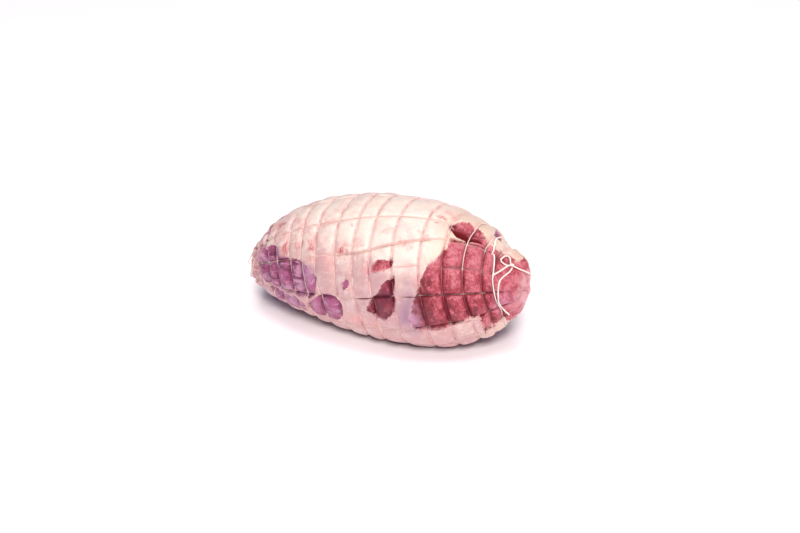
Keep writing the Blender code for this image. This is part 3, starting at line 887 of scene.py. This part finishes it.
def hoop_path(line, spacing, lift=0.25 * MM, slack=0.0):
    """The middle of a hoop, lying in its groove and bridging the gaping seam, and how stained it is.
    line is its line at each place round the roll, or one line for them all."""
    angle = round_the_roll(2 * pi)
    line = np.broadcast_to(line, angle.shape)
    surface = Surface(line, angle, rough=False)
    loose = slack * (0.6 + 0.4 * np.sin(2 * angle + line * 900)) * smooth_step(-0.95, -0.2, np.sin(angle))
    turned = np.degrees(wrapped(angle))
    starts = np.interp(line, *CLEAN_FROM)
    clean = smooth_step(0.075, 0.088, line) * smooth_step(starts - 12, starts + 12, turned)
    clean = clean * smooth_step(125, 110, turned)
    on_lean = smooth_step(-2 * MM, 0.5 * MM, surface.lean) * surface.purple
    proud = PROUD_HOOP * np.maximum(clean, on_lean)
    path = resampled(surface.points(lift + loose + proud), spacing, True)
    soak = soaked(surface) * (1 - clean)
    return path, np.interp(np.linspace(0, 1, len(path), endpoint=False), round_the_roll(1), soak)


# how stained a yarn is on fat and on red lean
HOOP_SOAK = (0.4, 0.95)
STRAND_SOAK = (0.12, 1.05)
CLEANER_STRAND = 0.4  # how much less a strand is stained on the lean of the thick end
CLEANER_HOOP = 0.3  # and a hoop on purple lean


def soaked(surface, strand=False):
    """How stained a yarn is: most of all where it lies on red lean, least over the gaping seam."""
    on_fat, most = STRAND_SOAK if strand else HOOP_SOAK
    if strand:
        most = most - CLEANER_STRAND * smooth_step(0.050, 0.060, surface.line)
    on_lean = smooth_step(-4 * MM, 1.5 * MM, surface.lean)
    seam = surface.seam_ends * smooth_step(-0.3, 0.0, surface.seam_share)
    seam *= smooth_step(1.3, 1.0, surface.seam_share)
    soak = on_fat + on_lean * (most - on_fat) * (1 - surface.purple)
    if not strand:
        soak = soak - CLEANER_HOOP * on_lean * surface.purple
    return np.clip(soak * (1 - seam) + 0.3 * surface.middling, 0, 1)


def strand_path(twist_at, first, last, lift=0.22 * MM):
    """The middle of a strand, its outward directions and how stained it is. It dips into the gaping seam."""
    line = np.linspace(first, last, int((last - first) / MM))
    angle = twist_at(line)
    surface = Surface(line, angle, rough=False)
    dip = 6 * MM * surface.seam_ends * smooth_step(0.0, 0.15, surface.seam_share)
    dip *= smooth_step(0.95, 0.25, surface.seam_share)
    outward = skin_normal(leaned(line, angle), angle)
    return surface.points(lift - dip), outward, soaked(surface, strand=True)


STITCH_STEP = 0.85 * MM
STITCH_SWING = 0.36 * MM
STITCH_RISE = 0.18 * MM


def stitched(path, normals, stitch, phase):
    """One yarn of a knitted chain: it swings from side to side of the path once a stitch."""
    fine = resampled(path, STITCH_STEP, False)
    normal = columns_between(np.linspace(0, 1, len(fine)), np.linspace(0, 1, len(path)), normals)
    side = np.cross(unit(np.gradient(fine, axis=0)), normal)
    along = np.arange(len(fine)) * STITCH_STEP
    swing = np.sin(2 * pi * along / stitch + phase)
    rise = np.cos(4 * pi * along / stitch + phase)
    return fine + side * (STITCH_SWING * swing)[:, None] + normal * (STITCH_RISE * rise)[:, None]


class LAMB_OT_meat(bpy.types.Operator):
    """Model the rolled meat with its fat, lean windows, grooves and gaping seam"""

    bl_idname = "lamb.meat"
    bl_label = "Rolled meat"

    def execute(self, context):
        s = context.scene.lamb_meat
        mesh = wrapped_grid("rolled_lamb", s.rows, s.columns * len(STRANDS), meat_shape)
        add_piece("rolled_lamb", mesh, meat_material(s), ["rolled_meat"])
        return {"FINISHED"}


class LAMB_OT_hoops(bpy.types.Operator):
    """Model the netting's elastic hoops, each a twisted yarn in its groove"""

    bl_idname = "lamb.hoops"
    bl_label = "Netting hoops"

    def execute(self, context):
        s = context.scene.lamb_net
        finish = yarn_material("elastic_netting_yarn", s.colour, s.stained_colour, 0.08 * MM)
        meshes = []
        hoops = [(line, 0.0) for line in HOOPS] + list(zip(GATHERED_HOOPS, GATHERED_SLACK))
        for line, slack in hoops:
            path, soak = hoop_path(line, 1.4 * MM, slack=slack)
            meshes.append(yarn_mesh("hoop", path, s.hoop_radius, pitch=3 * MM, groove=0.14, sides=10,
                                    closed=True, flat=0.8, soak=soak))
        add_piece("netting_hoops", joined_mesh("netting_hoops", meshes), finish, ["netting"])
        return {"FINISHED"}


class LAMB_OT_strands(bpy.types.Operator):
    """Model the netting's knitted strands, two yarns that chain from hoop to hoop"""

    bl_idname = "lamb.strands"
    bl_label = "Netting strands"

    def execute(self, context):
        s = context.scene.lamb_net
        finish = yarn_material("knitted_netting_strand", s.strand_colour, s.strand_stain, 0.06 * MM, 0.02)
        meshes = []
        ways = [(lambda line, n=n: strand_angles(line)[n], GATHERED_HOOPS[-1], TIE_AT)
                for n in range(len(STRANDS))]
        ways.append((half_strand_angle, HALF_START, TIE_AT))
        for twist_at, first, last in ways:
            path, normals, soak = strand_path(twist_at, first, last)
            for phase in (0.0, pi):
                yarn = stitched(path, normals, s.stitch, phase)
                along = np.interp(np.linspace(0, 1, len(yarn)), np.linspace(0, 1, len(soak)), soak)
                meshes.append(yarn_mesh("strand", yarn, s.strand_radius, plies=2, pitch=1.6 * MM,
                                        groove=0.1, sides=6, soak=along))
        add_piece("netting_strands", joined_mesh("netting_strands", meshes), finish, ["netting"])
        return {"FINISHED"}


# ---- the twine: places as x, angle and lift over the roll, as its solids have them

KNOT_AT = (0.1108, 77)
KNOT_LIFT = 0.0027
LOOP = ((0.1096, 74, 0.0030), (0.1074, 70, 0.0024), (0.1044, 71, 0.0024), (0.1026, 77, 0.0028),
        (0.1040, 86, 0.0030), (0.1070, 85, 0.0034), (0.1094, 80, 0.0034))
LINK_START = 50
LINK = ((0.1050, 57, 0.0012), (0.1068, 64, 0.0018), (0.1088, 72, 0.0024))
SHORT_END = ((0.1130, 79, 0.0026), (0.1152, 82, 0.0024), (0.1178, 87, 0.0024), (0.1202, 98, 0.0030),
             (0.1216, 116, 0.0038))
TAIL = ((0.1113, 71, 0.0024), (0.1106, 62, 0.0019), (0.1090, 52, 0.0016), (0.1068, 41, 0.0015),
        (0.1072, 29, 0.0014), (0.1084, 15, 0.0014), (0.1100, 1, 0.0014), (0.1120, -14, 0.0015),
        (0.1135, -27, 0.0016), (0.1144, -40, 0.0018))


GIRDLE_LIFT = 0.42 * MM
GIRDLE_SOAK = 0.6  # how stained the girdle is, as a share of a hoop in its place
SUNK = 0.55  # the share of a solid's lift that its twine has, sunk into the soft meat
TWINE_STEP = 0.6 * MM


def line_at(x, angle):
    """The hoop line that passes through a place."""
    line = x
    for _ in range(8):
        line += x - float(leaned(np.array(line), angle))
    return line


def on_line(line, angle, lift):
    """A place on a hoop line, lift metres over the finished meat."""
    surface = Surface(np.array([line]), np.array([angle]), rough=False)
    return Vector(surface.points(lift)[0])


def laid(x, degrees, lift):
    """A place at x, lift metres over the finished meat."""
    angle = radians(degrees)
    return on_line(line_at(x, angle), angle, lift)


def route_points(route):
    return [laid(x, degrees, SUNK * lift) for x, degrees, lift in route]


def twine_mesh(path, s, sides=12, thinner=1.0, **others):
    """A three-ply twine along a path."""
    radius = s.diameter / 2 * thinner
    return yarn_mesh("twine", path, radius, pitch=s.pitch, groove=0.2, sides=sides, **others)


def smooth_route(points):
    """Points TWINE_STEP apart along a smooth curve through the given ones."""
    padded = [points[0] * 2 - points[1]] + points + [points[-1] * 2 - points[-2]]
    fine = []
    for a, b, c, d in zip(padded, padded[1:], padded[2:], padded[3:]):
        for step in range(12):
            t = step / 12
            fine.append(0.5 * (2 * b + (c - a) * t + (2 * a - 5 * b + 4 * c - d) * t**2
                               + (3 * b - a - 3 * c + d) * t**3))
    fine.append(points[-1])
    return resampled(fine, TWINE_STEP, False)


def frayed_end(path, radius, count=9, reach=2.6 * MM):
    """Loose fibres that spread from the cut end of a twine."""
    ahead = unit(path[-1] - path[-3])
    side = unit(np.cross(ahead, (0.2, 0.3, 1.0)))
    up = np.cross(ahead, side)
    meshes = []
    for number in range(count):
        turn = 2.4 * number
        out = side * cos(turn) + up * sin(turn)
        steps = np.linspace(0, 1, 5)[:, None]
        spread = radius * (0.45 + 1.3 * steps**1.5 * (0.4 + 0.6 * ((number * 7) % 5) / 4))
        fibre = path[-1] - ahead * 0.4 * MM + ahead * steps * reach * (0.55 + 0.45 * ((number * 3) % 4) / 3)
        meshes.append(yarn_mesh("fibre", fibre + out * spread, 0.14 * MM, plies=2, pitch=2 * MM,
                                groove=0.05, sides=5))
    return meshes


class LAMB_OT_tie(bpy.types.Operator):
    """Model the twine girdle, its link, knot, loop and short end"""

    bl_idname = "lamb.tie"
    bl_label = "Twine tie"

    def execute(self, context):
        s = context.scene.lamb_twine
        finish = yarn_material("cotton_butchers_twine", s.colour, s.stained_colour, 0.1 * MM)
        around = round_the_roll(360)
        pulled = smooth_step(52, 100, around) * smooth_step(230, 130, around)
        girdle, soak = hoop_path(TIE_AT - TIE_PULL * pulled, 0.8 * MM, GIRDLE_LIFT)
        meshes = [twine_mesh(girdle, s, closed=True, soak=soak * GIRDLE_SOAK)]
        start = on_line(TIE_AT, radians(LINK_START), 0.5 * MM)
        knot = laid(*KNOT_AT, 0.6 * KNOT_LIFT)
        link = smooth_route([start] + route_points(LINK) + [knot])
        end = smooth_route([knot] + route_points(SHORT_END))
        loop = smooth_route([knot] + route_points(LOOP) + [knot])
        for path in (link, end, loop):
            meshes.append(twine_mesh(path, s))
        meshes += knot_turns(knot, s)
        meshes += frayed_end(end, s.diameter / 2)
        add_piece("twine_girdle_and_knot", joined_mesh("twine_girdle_and_knot", meshes), finish,
                  ["twine_tie"])
        return {"FINISHED"}


def knot_turns(knot, s):
    """The knot: two interlocked turns of twine drawn tight."""
    up = Vector(skin_normal(KNOT_AT[0], radians(KNOT_AT[1])))
    side = Vector((-1, 0, 0)).cross(up).normalized()
    away = up.cross(side).normalized()
    radius = s.diameter / 2
    turns = []
    for tilt, shift in ((0.6, -0.55), (-0.7, 0.55)):
        axis = (side * cos(tilt) + away * sin(tilt)).normalized()
        other = axis.cross(up).normalized()
        steps = np.linspace(0, 2 * pi, 22, endpoint=False)
        centre = knot + axis * shift * radius
        ring = [centre + (up * sin(a) * 0.95 + other * cos(a) * 1.2) * radius * 1.25
                + axis * 0.35 * radius * sin(2 * a) for a in steps]
        turns.append(twine_mesh(ring, s, 10, 0.9, closed=True))
    return turns


class LAMB_OT_tail(bpy.types.Operator):
    """Model the loose end of the twine, lying down over the cut end of the roll"""

    bl_idname = "lamb.tail"
    bl_label = "Twine tail"

    def execute(self, context):
        s = context.scene.lamb_twine
        finish = yarn_material("cotton_twine_tail", s.colour, s.stained_colour, 0.1 * MM)
        path = smooth_route(route_points(TAIL))
        piece = add_piece("twine_tail_yarn", twine_mesh(path, s), finish, ["twine_tail"])
        length = float(np.linalg.norm(np.diff(path, axis=0), axis=1).sum())
        return {"FINISHED"}


# ---- the stage

FLOOR_RADIUS = 6.0
DAYLIGHT_STRENGTH = 0.22
# lamps aimed at the origin: name, place, size, power, and whether the floor is left out or alone is lit
LAMPS = (
    ("key", (0.85, -0.40, 1.00), 0.7, 11.0, "EXCLUDE"),
    ("front", (-0.25, -1.15, 0.75), 0.7, 5.0, "EXCLUDE"),
    ("overhead", (0.05, 0.0, 2.2), 2.4, 40.0, "EXCLUDE"),
    ("floor_top", (0.30, -0.30, 4.4), 2.8, 240.0, "INCLUDE"),
    ("floor_front", (0.90, -2.20, 2.30), 1.0, 158.0, "INCLUDE"),
)
LENS_MM = 85
SENSOR_MM = 36
AIM_PAST_MIDDLE = 0.00895  # the camera looks at a place this far past the object's middle, at this height
AIM_HEIGHT = 0.056


class LAMB_OT_stage(bpy.types.Operator):
    """Set out the pale floor, the soft lights and the camera"""

    bl_idname = "lamb.stage"
    bl_label = "Stage"

    def execute(self, context):
        s = context.scene.lamb_stage
        m = Mixer("pale_studio_floor")
        speck = m.noise(60, 2)
        floor_colour = m.colour(m.range(speck, 0.3, 0.7, 0.0, 0.03), s.floor_colour, (0.6, 0.59, 0.6))
        grain = m.bump(m.noise(4, 2), 0.02 * MM, 0.3)
        finish = m.finish(floor_colour, 0.75, grain, Specular_IOR_Level=0.15)
        form = bmesh.new()
        bmesh.ops.create_circle(form, cap_ends=True, segments=96, radius=FLOOR_RADIUS)
        mesh = mesh_of(form, "floor")
        mesh.materials.append(finish)
        floor = bpy.data.objects.new("floor", mesh)
        context.scene.collection.objects.link(floor)
        self.add_lights(context, s, floor)
        self.add_camera(context, s)
        context.scene.view_settings.view_transform = "Standard"
        return {"FINISHED"}

    def add_lights(self, context, s, floor):
        world = bpy.data.worlds.new("soft_daylight")
        world.use_nodes = True
        ground = world.node_tree.nodes["Background"]
        ground.inputs["Color"].default_value = (*s.daylight_colour, 1)
        ground.inputs["Strength"].default_value = DAYLIGHT_STRENGTH
        context.scene.world = world
        for name, place, size, power, floor_state in LAMPS:
            lamp = bpy.data.lights.new(name, "AREA")
            lamp.size, lamp.energy, lamp.color = size, power, s.lamp_colour
            holder = bpy.data.objects.new(name, lamp)
            holder.location = place
            holder.rotation_euler = (-Vector(place)).to_track_quat("-Z", "Y").to_euler()
            context.scene.collection.objects.link(holder)
            lit = bpy.data.collections.new(name + "_lights")
            lit.objects.link(floor)
            lit.collection_objects[0].light_linking.link_state = floor_state
            holder.light_linking.receiver_collection = lit

    def add_camera(self, context, s):
        low, high = (Vector(corner) for corner in CAD_BOX)
        target = Vector(((low.x + high.x) / 2 + AIM_PAST_MIDDLE, (low.y + high.y) / 2, AIM_HEIGHT))
        level = cos(s.elevation)
        back = Vector((sin(s.azimuth) * level, -cos(s.azimuth) * level, sin(s.elevation)))
        lens = bpy.data.cameras.new("camera")
        lens.lens, lens.sensor_width = LENS_MM, SENSOR_MM
        camera = bpy.data.objects.new("camera", lens)
        camera.location = target + back * s.distance
        camera.rotation_euler = back.to_track_quat("Z", "Y").to_euler()
        context.scene.collection.objects.link(camera)
        context.scene.camera = camera


class LAMB_PT_panel(bpy.types.Panel):
    """Lists the pieces of the leg of lamb"""

    bl_label = "Leg of lamb"
    bl_idname = "LAMB_PT_panel"
    bl_space_type = "VIEW_3D"
    bl_region_type = "UI"
    bl_category = "Lamb"

    def draw(self, context):
        for name in PIECES:
            self.layout.operator("lamb." + name)


PIECES = ("stage", "tail", "meat", "hoops", "strands", "tie")
SETTINGS = {"lamb_meat": MeatSettings, "lamb_net": NetSettings, "lamb_twine": TwineSettings,
            "lamb_stage": StageSettings}
CLASSES = (*SETTINGS.values(), LAMB_OT_meat, LAMB_OT_hoops, LAMB_OT_strands, LAMB_OT_tie, LAMB_OT_tail,
           LAMB_OT_stage, LAMB_PT_panel)


def register():
    for made in CLASSES:
        bpy.utils.register_class(made)
    for name, group in SETTINGS.items():
        setattr(bpy.types.Scene, name, bpy.props.PointerProperty(type=group))


def unregister():
    for name in SETTINGS:
        delattr(bpy.types.Scene, name)
    for made in reversed(CLASSES):
        bpy.utils.unregister_class(made)


def main():
    register()
    for name in PIECES:
        getattr(bpy.ops.lamb, name)()


if __name__ == "__main__":
    main()
